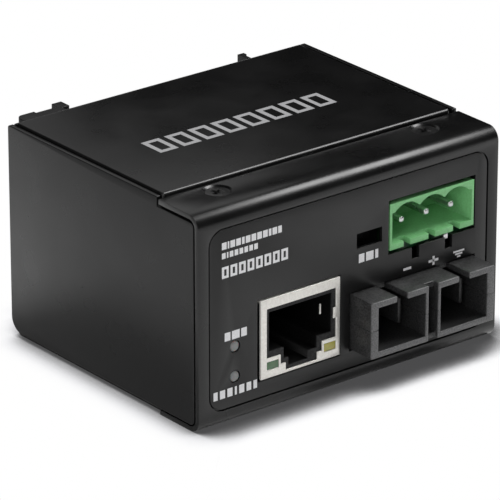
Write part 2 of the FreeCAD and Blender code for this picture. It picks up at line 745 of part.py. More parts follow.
node(group("terminal_pins", [joined(
    solid_box(about("header_x + %s*terminal_pitch" % step, "terminal_pin/2"),
              ("terminal_tip", "header_back - skin"), about("terminal_z", "terminal_pin/2")),
    solid_box(about("header_x + %s*terminal_pitch" % step, "terminal_pin/2"),
              ("header_back - skin - terminal_pin", "header_back - skin"),
              ("upper_board", "terminal_z")))
    for step in PITCHES]))

# ---------------------------------------------------------------- two-way selector switch

LEVERS = ("selector_x - selector_pitch/2", "selector_x + selector_pitch/2")
LEVER_SPAN = ("lever_z - lever_gap", "lever_z + lever_height + lever_travel + lever_gap")
selector = Piece("selector_body", "selector_x - selector_width/2", "selector_front", "upper_board")
selector.box(about("selector_x", "selector_width/2"), ("selector_front", "selector_back"),
             ("upper_board", "upper_board + selector_height"))
for middle in LEVERS:
    selector.box(about(middle, "(lever_width/2 + lever_gap)"), ("selector_front", "selector_front + 3*skin"),
                 LEVER_SPAN, cut=True)
node(selector)
for label, middle in zip(("selector_lever_1", "selector_lever_2"), LEVERS):
    lever = Piece(label, middle, "selector_front", "lever_z")
    lever.box(about(middle, "lever_width/2"), ("selector_front - lever_gap", "selector_front + 3*skin - lever_gap"),
              ("lever_z", "lever_z + lever_height"))
    node(lever)

# ---------------------------------------------------------------- status lights

for label, level in (("power_light", "light_upper"), ("link_light", "light_lower")):
    light = Piece(label, "light_x", "0", level)
    light.rod("y", "light_size", "0", "light_length", ("light_x", level))
    node(light)
holder = Piece("light_holder", "light_x", "light_length", "lower_board")
holder.box(about("light_x", "light_size"), ("light_length", "light_length + 2*light_size"),
           ("lower_board", "light_upper + light_size"))
node(holder)

# ---------------------------------------------------------------- parts on the boards

def chip(label, x, y, level, height=None):
    part = Piece(label, x, y, level)
    part.box((x, "%s + %s_width" % (x, label)), (y, "%s + %s_depth" % (y, label)),
             (level, height or "%s + %s_height" % (level, label)))
    return node(part)


chip("media_chip", "chip_left", "transformer_y - chip_gap - media_chip_depth", "lower_board")
chip("line_transformer", "chip_left", "transformer_y", "lower_board")
chip("clock_crystal", "chip_left - crystal_gap - clock_crystal_width",
     "transformer_y - chip_gap - clock_crystal_depth", "lower_board")
chip("power_module", "power_left", "module_y", "upper_board")
chip("power_inductor", "power_right", "guard_y + surge_guard_depth + guard_gap", "upper_board")
chip("surge_guard", "power_right", "guard_y", "upper_board")
chip("switch_regulator", "power_left", "regulator_y", "upper_board")
chip("board_link", "case_width/2", "post_row_b", "lower_board", "upper_under")
CAPACITORS = [("case_width - capacitor_edge - capacitor_step", "capacitor_y"),
              ("case_width - capacitor_edge", "capacitor_y - capacitor_size/2"),
              ("chip_left", "capacitor_y")]
node(group("power_capacitors", [solid_rod("z", "capacitor_size", "upper_board", "upper_board + capacitor_height", spot)
                                for spot in CAPACITORS]))
node(group("upper_board_screws", [pan_screw("upper_board", spot, "board_skin") for spot in POSTS]))

# ---------------------------------------------------------------- rail clip

CLIP = ("clip_low", "clip_high")
NOSE_START = "bearing + hook_space"
clip = Piece("clip_plate", "clip_left", "case_depth", "clip_low")
HOOK_END = NOSE_START + " + hook_skin"
clip.box(("clip_left", "clip_right"), ("case_depth", "bearing"), CLIP)
clip.box(("hook_root", "clip_right"), ("bearing", HOOK_END), CLIP)
clip.box(("clip_right", "clip_right + hook_bead"), (HOOK_END + " - hook_wall", HOOK_END), CLIP)
clip.box(("rail_right - hook_nose", "hook_root"), (NOSE_START, HOOK_END),
         ("clip_low + hook_inset", "clip_high - hook_inset"))
NECK = "bearing - tongue_neck_skin"
clip.box(("clip_left", "channel_end"), (NECK, "bearing"),
         about("latch_mid", "(tongue_neck/2 + slide_gap)"), cut=True)
clip.box(("clip_left", "channel_end"), (NECK + " - tongue_foot_skin - slide_gap", NECK),
         about("latch_mid", "(tongue_foot/2 + slide_gap)"), cut=True)
for spot in CLIP_SCREWS:
    clip.rod("y", "screw_size + screw_fit", "case_depth", "bearing - skin", spot, cut=True)
    clip.cone("y", "screw_size", "screw_head", "bearing - skin", "bearing", spot, cut=True)
node(clip)
node(group("clip_screws", [flush_screw("y", "bearing", "-", spot, "clip_screw_length")
                           for spot in CLIP_SCREWS]))

latch = Piece("clip_latch", "latch_tab_left", "bearing", "clip_low")
LATCH_FACE = "bearing + slide_gap"
TONGUE = (NECK + " - tongue_foot_skin - slide_gap/2", NECK + " - slide_gap/2")
latch.box(("latch_bar_left", "rail_left - rail_gap"), (LATCH_FACE, LATCH_FACE + " + latch_bar_skin"), CLIP)
latch.box(("rail_left - rail_gap - latch_nose_root", "rail_left + latch_nose"),
          ("bearing + latch_space", "bearing + latch_space + latch_nose_skin"), CLIP)
latch.box(("latch_tab_left", "latch_bar_left + skin/2"),
          ("case_depth + latch_tab_front", "case_depth + latch_tab_front + latch_tab_skin"), CLIP)
latch.round("latch_tab_skin*0.28", "z", x=["latch_tab_left"])
latch.box(("clip_left", "rail_left - rail_gap"), ("bearing", LATCH_FACE), about("latch_mid", "tongue_neck/2"))
latch.box(("clip_left", "tongue_end"), (TONGUE[1], "bearing"), about("latch_mid", "tongue_neck/2"))
latch.box(("clip_left", "tongue_end"), TONGUE, about("latch_mid", "tongue_foot/2"))
node(latch)

spring = Piece("latch_spring", "tongue_end", TONGUE[0], "latch_mid - spring_half")
STEP = "(channel_end - tongue_end - spring_strip)/4"
for turn in range(5):
    start = "tongue_end + %d*%s" % (turn, STEP)
    spring.box((start, start + " + spring_strip"), TONGUE, about("latch_mid", "spring_half"))
    if turn < 4:
        edge = "latch_mid + spring_half - spring_strip" if turn % 2 else "latch_mid - spring_half"
        spring.box((start, start + " + %s" % STEP), TONGUE, (edge, edge + " + spring_strip"))
node(spring)

# ---------------------------------------------------------------- check and write

doc.recompute()
for item in doc.Objects:
    if "Invalid" in item.State or "Error" in item.State:
        raise RuntimeError("%s did not build: %s" % (item.Label, item.State))
os.makedirs("parts", exist_ok=True)
for item in nodes:
    shape = item.Shape
    if shape.isNull() or not shape.isValid() or shape.Volume <= 0:
        raise RuntimeError("%s has no sound shape" % item.Label)
    shape.exportStep("parts/%s.step" % item.Label)
    box = shape.optimalBoundingBox(False)
    print("%-20s %d solid(s) %8.1f mm3  x %6.2f..%6.2f  y %6.2f..%6.2f  z %6.2f..%6.2f" % (
        item.Label, len(shape.Solids), shape.Volume, box.XMin, box.XMax, box.YMin, box.YMax, box.ZMin, box.ZMax))
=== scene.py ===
import json
import math
import bpy
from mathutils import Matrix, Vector


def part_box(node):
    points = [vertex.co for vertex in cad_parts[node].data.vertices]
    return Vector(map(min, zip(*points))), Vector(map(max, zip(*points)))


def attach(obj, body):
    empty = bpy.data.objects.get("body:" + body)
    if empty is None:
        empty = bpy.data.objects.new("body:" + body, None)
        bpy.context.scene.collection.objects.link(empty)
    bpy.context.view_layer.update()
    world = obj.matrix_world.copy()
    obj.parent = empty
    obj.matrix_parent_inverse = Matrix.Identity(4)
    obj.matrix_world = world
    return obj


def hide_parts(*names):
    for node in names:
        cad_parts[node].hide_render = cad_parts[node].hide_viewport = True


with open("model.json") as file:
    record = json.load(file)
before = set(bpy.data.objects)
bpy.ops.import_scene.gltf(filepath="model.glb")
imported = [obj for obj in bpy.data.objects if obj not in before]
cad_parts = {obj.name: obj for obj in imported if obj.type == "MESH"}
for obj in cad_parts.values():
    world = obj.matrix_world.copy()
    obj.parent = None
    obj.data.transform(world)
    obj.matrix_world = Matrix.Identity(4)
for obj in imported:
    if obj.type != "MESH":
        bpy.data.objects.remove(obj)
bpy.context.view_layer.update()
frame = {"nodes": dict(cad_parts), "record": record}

mm = 0.001
smoothAngle = math.radians(35)
print("stage: frame loaded")


# helpers shared by the pieces below

def deselectAll():
    if bpy.context.object and bpy.context.object.mode != "OBJECT":
        bpy.ops.object.mode_set(mode="OBJECT")
    bpy.ops.object.select_all(action="DESELECT")


def only(obj):
    deselectAll()
    obj.select_set(True)
    bpy.context.view_layer.objects.active = obj


def corners(node):
    low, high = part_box(node)
    return Vector(low), Vector(high)


def camelName(nodeName):
    words = nodeName.split("_")
    return words[0] + "".join(word.title() for word in words[1:])


def settle(obj):
    # place, turn and scale go into the mesh, so the object sits at the origin
    only(obj)
    bpy.ops.object.transform_apply(location=True, rotation=True, scale=True)


def pickFaces(obj, test):
    # edit mode with only the faces that pass the test selected
    only(obj)
    bpy.ops.object.mode_set(mode="EDIT")
    bpy.ops.mesh.select_mode(type="FACE")
    bpy.ops.mesh.select_all(action="DESELECT")
    bpy.ops.object.mode_set(mode="OBJECT")
    for face in obj.data.polygons:
        face.select = test(face)
    bpy.ops.object.mode_set(mode="EDIT")


def moveVertices(obj, test, step):
    only(obj)
    bpy.ops.object.mode_set(mode="EDIT")
    bpy.ops.mesh.select_mode(type="VERT")
    bpy.ops.mesh.select_all(action="DESELECT")
    bpy.ops.object.mode_set(mode="OBJECT")
    for vertex in obj.data.vertices:
        vertex.select = test(vertex.co)
    bpy.ops.object.mode_set(mode="EDIT")
    bpy.ops.transform.translate(value=step)
    bpy.ops.object.mode_set(mode="OBJECT")


def finish(obj, material, body, slot, replaced=()):
    settle(obj)
    obj.data.materials.clear()
    obj.data.materials.append(material)
    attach(obj, body)
    if replaced:
        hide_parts(*replaced)


def applyModifiers(obj):
    only(obj)
    for modifier in list(obj.modifiers):
        bpy.ops.object.modifier_apply(modifier=modifier.name)


def join(parts, name):
    deselectAll()
    for part in parts:
        part.select_set(True)
    bpy.context.view_layer.objects.active = parts[0]
    bpy.ops.object.join()
    parts[0].name = name
    return parts[0]


def block(name, low, high):
    bpy.ops.mesh.primitive_cube_add(size=1, location=(Vector(low) + Vector(high)) / 2,
                                    scale=Vector(high) - Vector(low))
    obj = bpy.context.object
    obj.name = name
    settle(obj)
    return obj


def cutWith(obj, tool, operation="DIFFERENCE"):
    modifier = obj.modifiers.new("cut", "BOOLEAN")
    modifier.object = tool
    modifier.operation = operation
    applyModifiers(obj)
    bpy.data.objects.remove(tool)


def bevelled(obj, width):
    bevel = obj.modifiers.new("edges", "BEVEL")
    bevel.width = width * mm
    bevel.segments = 2
    bevel.limit_method = "ANGLE"
    bevel.harden_normals = False
    applyModifiers(obj)
    bpy.ops.object.shade_smooth_by_angle(angle=smoothAngle)
    return obj


copySettings = {
    "mergeReach": 1e-6,                    # vertices of the loaded solid closer than this are one
    "flatAngle": math.radians(0.5),        # faces that meet flatter than this are one
}


def softCopy(nodeName, edge):
    # a copy of a CAD node with its edges broken by a small bevel
    only(frame["nodes"][nodeName])
    bpy.ops.object.duplicate()
    obj = bpy.context.object
    obj.name = camelName(nodeName) + "Soft"
    obj.parent = None
    only(obj)
    bpy.ops.object.mode_set(mode="EDIT")
    bpy.ops.mesh.select_all(action="SELECT")
    bpy.ops.mesh.remove_doubles(threshold=copySettings["mergeReach"])
    bpy.ops.mesh.dissolve_limited(angle_limit=copySettings["flatAngle"])
    bpy.ops.object.mode_set(mode="OBJECT")
    return bevelled(obj, edge)


# materials

def newMaterial(name):
    material = bpy.data.materials.new(name)
    material.use_nodes = True
    return material, material.node_tree, material.node_tree.nodes["Principled BSDF"]


def grey(level):
    return (level, level, level * 1.02, 1)


def noise(tree, scale, detail=2.0, roughness=0.5):
    coords = tree.nodes.new("ShaderNodeTexCoord")
    texture = tree.nodes.new("ShaderNodeTexNoise")
    texture.inputs["Scale"].default_value = scale
    texture.inputs["Detail"].default_value = detail
    texture.inputs["Roughness"].default_value = roughness
    tree.links.new(coords.outputs["Object"], texture.inputs["Vector"])
    return texture.outputs["Fac"]


def ramp(tree, value, stops):
    colours = tree.nodes.new("ShaderNodeValToRGB")
    for index, (place, colour) in enumerate(stops):
        if index > 1:
            colours.color_ramp.elements.new(place)
        colours.color_ramp.elements[index].position = place
        colours.color_ramp.elements[index].color = colour
    tree.links.new(value, colours.inputs["Fac"])
    return colours.outputs["Color"]


def bump(tree, shader, value, strength, distance):
    node = tree.nodes.new("ShaderNodeBump")
    node.inputs["Strength"].default_value = strength
    node.inputs["Distance"].default_value = distance
    tree.links.new(value, node.inputs["Height"])
    tree.links.new(node.outputs["Normal"], shader.inputs["Normal"])


def shareAlong(tree, axis, start, end):
    # grows from nought at one plane to one at another
    coords = tree.nodes.new("ShaderNodeTexCoord")
    parts = tree.nodes.new("ShaderNodeSeparateXYZ")
    tree.links.new(coords.outputs["Object"], parts.inputs["Vector"])
    share = tree.nodes.new("ShaderNodeMapRange")
    share.inputs["From Min"].default_value = start
    share.inputs["From Max"].default_value = end
    tree.links.new(parts.outputs[axis], share.inputs["Value"])
    return share.outputs["Result"]


def blend(tree, share, first, second):
    # from one colour to another; the second may be a plain colour
    mix = tree.nodes.new("ShaderNodeMix")
    mix.data_type = "RGBA"
    tree.links.new(share, mix.inputs["Factor"])
    tree.links.new(first, mix.inputs["A"])
    if isinstance(second, tuple):
        mix.inputs["B"].default_value = second
    else:
        tree.links.new(second, mix.inputs["B"])
    return mix.outputs["Result"]


grainSettings = {
    "fineDetail": 3.0,             # of the noise behind the speckle and the bump
    "fineRoughness": 0.6,
    "speckle": (0.35, 0.65),       # where the noise turns dark and light
    "rimSpeckle": (0.38, 0.62),
    "wide": 40,                    # the gloss varies over patches this many grains wide
    "glossSpread": 0.04,
    "gloss": (0.3, 0.7),
}
lensSettings = {
    "cloudGrain": 900,
    "cloudDark": 0.8,              # the darker clouds' share of the colour
    "clouds": (0.3, 0.7),
    "soak": 0.3,
    "soakDepth": 0.4 * mm,
    "bumpGrain": 1800,
    "bumpStrength": 0.1,
    "bumpDepth": 0.01 * mm,
}


def texturedFinish(name, dark, light, rough, specular, grain, strength, depth, metallic=0.0):
    # speckled colour, uneven gloss and a fine bump; the bump's depth is in thousandths of a millimetre
    material, tree, shader = newMaterial(name)
    s = grainSettings
    fine = noise(tree, grain, s["fineDetail"], s["fineRoughness"])
    tree.links.new(ramp(tree, fine, zip(s["speckle"], (dark, light))), shader.inputs["Base Color"])
    levels = (grey(rough - s["glossSpread"]), grey(rough + s["glossSpread"]))
    gloss = ramp(tree, noise(tree, grain / s["wide"]), zip(s["gloss"], levels))
    tree.links.new(gloss, shader.inputs["Roughness"])
    shader.inputs["Specular IOR Level"].default_value = specular
    shader.inputs["Metallic"].default_value = metallic
    bump(tree, shader, fine, strength, depth * mm / 1000)
    return material


def paleRimAndDepthShade(material, dark, light, grain, start, end):
    # in front of the given planes the moulding has a paler speckle; its darker colour behind them is painted
    # shade deeper in the openings
    tree = material.node_tree
    colour = tree.nodes["Principled BSDF"].inputs["Base Color"]
    fine = noise(tree, grain, roughness=grainSettings["fineRoughness"])
    speckle = ramp(tree, fine, zip(grainSettings["rimSpeckle"], (dark, light)))
    share = shareAlong(tree, "Y", start, end)
    tree.links.new(blend(tree, share, speckle, colour.links[0].from_socket), colour)


def paintedShadeCorner(material, shade, sideways, backwards):
    # painted shade: the colour turns to a dark shade where both changes, each from a start to an end, are past
    tree = material.node_tree
    colour = tree.nodes["Principled BSDF"].inputs["Base Color"]
    both = tree.nodes.new("ShaderNodeMath")
    both.operation = "MULTIPLY"
    tree.links.new(shareAlong(tree, "X", *sideways), both.inputs[0])
    tree.links.new(shareAlong(tree, "Y", *backwards), both.inputs[1])
    tree.links.new(blend(tree, both.outputs["Value"], colour.links[0].from_socket, shade), colour)


def lens(name, colour, rough):
    # cloudy plastic that light soaks into a little
    material, tree, shader = newMaterial(name)
    s = lensSettings
    darker = tuple(value * s["cloudDark"] for value in colour[:3]) + (1,)
    cloudy = ramp(tree, noise(tree, s["cloudGrain"]), zip(s["clouds"], (darker, colour)))
    tree.links.new(cloudy, shader.inputs["Base Color"])
    shader.inputs["Roughness"].default_value = rough
    shader.inputs["Subsurface Weight"].default_value = s["soak"]
    shader.inputs["Subsurface Scale"].default_value = s["soakDepth"]
    bump(tree, shader, noise(tree, s["bumpGrain"]), s["bumpStrength"], s["bumpDepth"])
    return material


# one finish for each material slot of the record
finishSettings = {
    "case_paint": dict(name="casePaint", dark=grey(0.002), light=grey(0.006), rough=0.30, specular=0.44,
                       grain=5200, strength=0.30, depth=10),
    "front_foil": dict(name="frontFoil", dark=grey(0.003), light=grey(0.007), rough=0.36, specular=0.42,
                       grain=6500, strength=0.18, depth=6),
    "black_screw": dict(name="screwBlack", dark=grey(0.004), light=grey(0.010), rough=0.34, specular=0.45,
                        grain=4200, strength=0.25, depth=10),
    "board": dict(name="boardLaminate", dark=(0.006, 0.05, 0.018, 1), light=(0.01, 0.075, 0.028, 1),
                  rough=0.35, specular=0.5, grain=1500, strength=0.1, depth=10),
    "plated_steel": dict(name="platedSteel", dark=grey(0.55), light=grey(0.68), rough=0.28, specular=0.5,
                         grain=3000, strength=0.08, depth=5, metallic=1.0),
    "tinned_shield": dict(name="tinShield", dark=(0.72, 0.70, 0.66, 1), light=(0.82, 0.80, 0.76, 1),
                          rough=0.42, specular=0.5, grain=2500, strength=0.08, depth=5, metallic=0.55),
    "gold_contact": dict(name="goldContact", dark=(0.72, 0.50, 0.18, 1), light=(0.85, 0.62, 0.27, 1),
                         rough=0.25, specular=0.5, grain=3000, strength=0.05, depth=3, metallic=1.0),
    "black_plastic": dict(name="blackPlastic", dark=grey(0.002), light=grey(0.005), rough=0.45,
                          specular=0.08, grain=3000, strength=0.3, depth=10),
    "port_plastic": dict(name="portPlastic", dark=grey(0.003), light=grey(0.040), rough=0.42,
                         specular=0.45, grain=3600, strength=0.3, depth=10),
    "green_plastic": dict(name="greenHousing", dark=(0.17, 0.45, 0.18, 1), light=(0.20, 0.51, 0.22, 1),
                          rough=0.42, specular=0.45, grain=2400, strength=0.1, depth=6),
    "chip_plastic": dict(name="chipEpoxy", dark=grey(0.012), light=grey(0.018), rough=0.55, specular=0.4,
                         grain=3000, strength=0.2, depth=10),
    "capacitor_can": dict(name="capacitorCan", dark=grey(0.5), light=grey(0.6), rough=0.3, specular=0.5,
                          grain=1500, strength=0.05, depth=4, metallic=1.0),
    "clip_plastic": dict(name="clipNylon", dark=grey(0.004), light=grey(0.008), rough=0.45, specular=0.40,
                         grain=2600, strength=0.3, depth=10),
}
inkFinish = dict(rough=0.5, specular=0.3, grain=6000, strength=0.1, depth=4)

caseFront = corners("front_cover")[0].y
noseFront = corners("fibre_nose_upper")[0].y
terminalLow, terminalHigh = corners("terminal_header")
finishes = {slot: texturedFinish(**settings) for slot, settings in finishSettings.items()}
finishes["green_lens"] = lens("greenLens", (0.09, 0.17, 0.09, 1), 0.25)
finishes["yellow_lens"] = lens("yellowLens", (0.42, 0.39, 0.10, 1), 0.25)
finishes["clear_lens"] = lens("lightLens", (0.20, 0.205, 0.205, 1), 0.35)
# the pale rims end a little behind the socket's and the port's front, and the painted shade of the openings
# starts there
paleRimAndDepthShade(finishes["black_plastic"], dark=grey(0.020), light=grey(0.035), grain=3000,
        start=caseFront + 0.35 * mm, end=caseFront + 0.6 * mm)
paleRimAndDepthShade(finishes["port_plastic"], dark=grey(0.07), light=grey(0.13), grain=3600,
        start=noseFront + 0.12 * mm, end=noseFront + 0.35 * mm)
# painted shade: the terminal housing's left wall is darkened where it stands in the dark behind the selector
# window
paintedShadeCorner(finishes["green_plastic"], shade=(0.004, 0.02, 0.005, 1),
            sideways=(terminalLow.x + 0.60 * mm, terminalLow.x + 0.57 * mm),
            backwards=(terminalLow.y + 1.3 * mm, terminalLow.y + 1.6 * mm))
printInk = texturedFinish("printInk", grey(0.62), grey(0.75), **inkFinish)
lidInk = texturedFinish("lidInk", grey(0.30), grey(0.40), **inkFinish)

slotOf = {part["node"]: part["material_slot"] for part in frame["record"]["subparts"]}
bodyOf = {node: body for body, nodes in frame["record"]["behaviour"]["bodies"].items() for node in nodes}
for nodeName, obj in frame["nodes"].items():
    obj.data.materials.clear()
    obj.data.materials.append(finishes[slotOf[nodeName]])
print("stage: finishes made")


# pieces whose edges show: bevelled copies of their solids

softEdges = {
    "front_cover": 0.12, "front_overlay": 0.06, "rear_wrap": 0.12, "side_panel_left": 0.12,
    "side_panel_right": 0.12, "jack_shield": 0.06, "jack_housing": 0.08, "fibre_nose_upper": 0.12,
    "fibre_nose_lower": 0.12, "clip_plate": 0.25, "clip_latch": 0.25, "fibre_latches": 0.2,
    "jack_light_green": 0.15, "jack_light_yellow": 0.15, "terminal_pins": 0.28, "jack_contacts": 0.05,
    "power_light": 0.45, "link_light": 0.45,
}
socketSettings = {
    "shift": (0.35, 0.6, -0.35),   # the dressed socket sits back almost level with the panel
    "mouthWiden": 0.75,            # the right side of its mouth is this far further right
    "mouthStart": 2.0,             # that side starts this far right of the socket's middle
    "mouthEnd": 0.6,               # and ends this far inside the shield
    "shieldIn": 0.3,               # its left wall is this far further in
    "shieldWall": 0.45,            # and is found within this of the solid's left side
}
openingSettings = {
    # how far the rims of the panel's openings are looked for from the solids that stand in them
    "socketReach": 0.5,
    "terminalReach": 0.4,
    "rightReach": 0.6,
    "footReach": 0.8,
    "slotReach": 3.0,              # depth of the slots under the terminal
    "footRise": 0.2,
    "rightStart": 1.0,             # the right side starts this far inside
    # and how far each rim moves
    "moveLeft": 0.5,
    "moveRight": 0.35,
    "moveFoot": -0.55,
}
socketLow, socketHigh = corners("jack_shield")
socketShift = Vector(socketSettings["shift"]) * mm


def inside(left, right, foot, top):
    # a test that a point lies between two widths and two heights
    return lambda point: left < point.x < right and foot < point.z < top


def fitSocket(nodeName, piece):
    # widens the mouth, narrows the shield and puts the socket in its place
    s = {name: value * mm for name, value in socketSettings.items() if name != "shift"}
    middle = (socketLow.x + socketHigh.x) / 2
    if nodeName == "jack_light_yellow":
        piece.location.x = s["mouthWiden"]
        settle(piece)
    elif nodeName != "jack_light_green":
        moveVertices(piece, lambda point: middle + s["mouthStart"] < point.x < socketHigh.x - s["mouthEnd"],
                     (s["mouthWiden"], 0, 0))
    if nodeName == "jack_shield":
        moveVertices(piece, lambda point: point.x < socketLow.x + s["shieldWall"], (s["shieldIn"], 0, 0))
    piece.location = socketShift


def fitPanel(piece):
    # the openings follow the socket and the terminal housing
    s = {name: value * mm for name, value in openingSettings.items()}
    reach = s["socketReach"]
    moveVertices(piece, inside(socketLow.x - reach, socketHigh.x + reach, socketLow.z - reach,
                               socketHigh.z + reach), (socketShift.x, 0, socketShift.z))
    left, turn = terminalLow.x - s["terminalReach"], terminalHigh.x - s["rightStart"]
    foot, top = terminalLow.z - s["slotReach"], terminalHigh.z + s["terminalReach"]
    moveVertices(piece, inside(left, turn, foot, top), (s["moveLeft"], 0, 0))
    moveVertices(piece, inside(turn, terminalHigh.x + s["rightReach"], foot, top), (s["moveRight"], 0, 0))
    moveVertices(piece, inside(left, terminalHigh.x + s["footReach"], foot, terminalLow.z + s["footRise"]),
                 (0, 0, s["moveFoot"]))


for nodeName, edge in softEdges.items():
    piece = softCopy(nodeName, edge)
    if nodeName.startswith("jack_"):
        fitSocket(nodeName, piece)
    elif nodeName.startswith("front_"):
        fitPanel(piece)
    finish(piece, finishes[slotOf[nodeName]], bodyOf[nodeName], slotOf[nodeName], [nodeName])
print("stage: soft edges made")


# power terminal housing: an open box with three arches under its roof

headerSettings = {
    "leftIn": 0.55,        # how far its faces stand inside the solid's, outside where negative
    "rightIn": -0.35,
    "frontIn": 0.6,
    "topIn": 0.45,
    "footIn": -0.2,
    "wall": 0.45,
    "floor": 0.95,
    "roof": 0.45,
    "archRadius": 3.5,
    "archSides": 96,
    "archFoot": 1.55,      # below the top
    "overlap": 0.1,        # the cuts reach this far into each other
    "runOut": 1.0,         # and this far out of the housing
    "depth": 8.9,
    "pitch": 5.08,
    "notchWidth": 1.4,
    "notchDepth": 1.7,
    "edge": 0.07,
}
tailSettings = {
    # the solder tail that shows under the housing: from its middle, the case front and its foot
    "low": (2.45, 0.1, -1.0),
    "high": (3.35, 0.9, -0.02),
    "edge": 0.15,
}


def makeHeader():
    s = {name: value * mm for name, value in headerSettings.items()}
    low = terminalLow + Vector((s["leftIn"], s["frontIn"], s["footIn"]))
    high = terminalHigh - Vector((s["rightIn"], 0, s["topIn"]))
    centre, radius, notch = (low.x + high.x) / 2, s["archRadius"], s["notchWidth"] / 2
    left, right = low.x + s["wall"], high.x - s["wall"]
    front, back = low.y - s["runOut"], low.y + s["depth"]
    floor, foot = low.z + s["floor"], high.z - s["archFoot"]
    housing = block("terminalHousing", low, high)
    for place in (centre - s["pitch"], centre, centre + s["pitch"]):
        bpy.ops.mesh.primitive_cylinder_add(vertices=headerSettings["archSides"], radius=radius,
                                            depth=back - front, rotation=(math.pi / 2, 0, 0),
                                            location=(place, (front + back) / 2, high.z - s["roof"] - radius))
        rod = bpy.context.object
        settle(rod)
        arch = block("arch", (left, front, foot - s["overlap"]), (right, back, high.z))
        cutWith(arch, rod, "INTERSECT")
        cutWith(housing, arch)
        cutWith(housing, block("notch", (place - notch, front, low.z - s["runOut"]),
                               (place + notch, low.y + s["notchDepth"], floor + s["overlap"])))
    cutWith(housing, block("room", (left, front, floor), (right, back, foot)))
    slot = slotOf["terminal_header"]
    finish(bevelled(housing, headerSettings["edge"]), finishes[slot], "case", slot, ["terminal_header"])
    corner = Vector((centre, caseFront, low.z))
    tail = block("terminalTail", corner + Vector(tailSettings["low"]) * mm,
                 corner + Vector(tailSettings["high"]) * mm)
    finish(bevelled(tail, tailSettings["edge"]), finishes["plated_steel"], "case", slotOf["terminal_pins"])


makeHeader()
print("stage: power terminal made")


# cross-head screws, sunk a little into their dishes

screwSettings = {
    "headShare": 0.875,    # of the dish
    "sunk": 0.25,
    "headDepth": 0.6,
    "shank": 2.9,
    "rim": 0.10,
    "crossWidth": 0.75,
    "crossLength": 2.3,
    "crossDepth": 1.0,
    "crossTurn": 25,
    "crossTaper": (0.35, 0.5, 1),    # of its foot
    "overlap": 0.1,
    "sides": 48,
}
# which way each set faces
screwTurns = {
    "top_screws": (0, 0, 0),
    "bottom_screws": (math.pi, 0, 0),
    "rear_screws": (-math.pi / 2, 0, 0),
    "clip_screws": (-math.pi / 2, 0, 0),
}


def cutCross(head, top, angle):
    depth = screwSettings["crossDepth"] * mm
    width, length = screwSettings["crossWidth"] * mm, screwSettings["crossLength"] * mm
    bpy.ops.mesh.primitive_cube_add(size=1, location=(0, 0, top - depth / 2),
                                    rotation=(0, 0, math.radians(angle)), scale=(length, width, depth))
    cross = bpy.context.object
    only(cross)
    bpy.ops.object.transform_apply(location=False, rotation=False, scale=True)
    pickFaces(cross, lambda face: face.normal.z < -0.5)
    bpy.ops.transform.resize(value=screwSettings["crossTaper"])
    deselectAll()
    cutWith(head, cross)


def crossScrew(spot, turn, dish, length):
    # made upright with the case face at zero, then turned to face outwards and moved to its hole
    sunk, deep = screwSettings["sunk"] * mm, screwSettings["headDepth"] * mm
    shank, overlap = screwSettings["shank"] * mm / 2, screwSettings["overlap"] * mm
    bpy.ops.mesh.primitive_cone_add(vertices=screwSettings["sides"], radius1=shank, depth=deep,
                                    radius2=dish / 2 * screwSettings["headShare"],
                                    location=(0, 0, -sunk - deep / 2))
    head = bpy.context.object
    settle(head)
    bevel = head.modifiers.new("rim", "BEVEL")
    bevel.width = screwSettings["rim"] * mm
    bevel.segments = 2
    applyModifiers(head)
    for angle in (0, 90):
        cutCross(head, overlap - sunk, screwSettings["crossTurn"] + angle)
    shankLength = length - sunk - deep + overlap
    bpy.ops.mesh.primitive_cylinder_add(vertices=screwSettings["sides"], radius=shank, depth=shankLength,
                                        location=(0, 0, -length + shankLength / 2))
    screw = join([head, bpy.context.object], "screw")
    screw.rotation_euler = turn
    screw.location = spot
    settle(screw)
    return screw


def screwSet(nodeName, turn):
    # one screw in each corner of the set's box, where corners closer than a head share one
    low, high = corners(nodeName)
    axis = 1 if nodeName in ("rear_screws", "clip_screws") else 2
    across = 3 - axis
    face = low[axis] if nodeName == "bottom_screws" else high[axis]
    dish = min((high - low)[k] for k in (0, across))
    if nodeName == "rear_screws":
        topLow, topHigh = corners("top_screws")
        dish = topHigh.y - topLow.y
    spots = []
    for first in (low.x + dish / 2, high.x - dish / 2):
        for second in (low[across] + dish / 2, high[across] - dish / 2):
            spot = Vector((first, second, face)) if axis == 2 else Vector((first, face, second))
            if all((spot - other).length > dish for other in spots):
                spots.append(spot)
    piece = join([crossScrew(spot, turn, dish, high[axis] - low[axis]) for spot in spots], camelName(nodeName))
    only(piece)
    bpy.ops.object.shade_smooth_by_angle(angle=smoothAngle)
    finish(piece, finishes[slotOf[nodeName]], bodyOf[nodeName], slotOf[nodeName], [nodeName])


for nodeName, turn in screwTurns.items():
    screwSet(nodeName, turn)
print("stage: screws made")


# small sprung tabs of the socket shield

tabSettings = {
    # low and high corner of each, from the dressed shield's right side, front and top
    "sideTab": ((-1.4, -0.06, -6.65), (-0.5, 0.12, -4.85)),
    "innerFinger": ((-3.25, 1.0, -5.85), (-2.95, 1.2, -4.1)),
}
tabEdge = 0.08
for name, (low, high) in tabSettings.items():
    corner = Vector((socketHigh.x, socketLow.y, socketHigh.z)) + socketShift
    tab = bevelled(block(name, corner + Vector(low) * mm, corner + Vector(high) * mm), tabEdge)
    finish(tab, finishes["tinned_shield"], "case", slotOf["jack_shield"])
print("stage: socket tabs made")


# plain printed marks: bars, blocks and hollow frames only

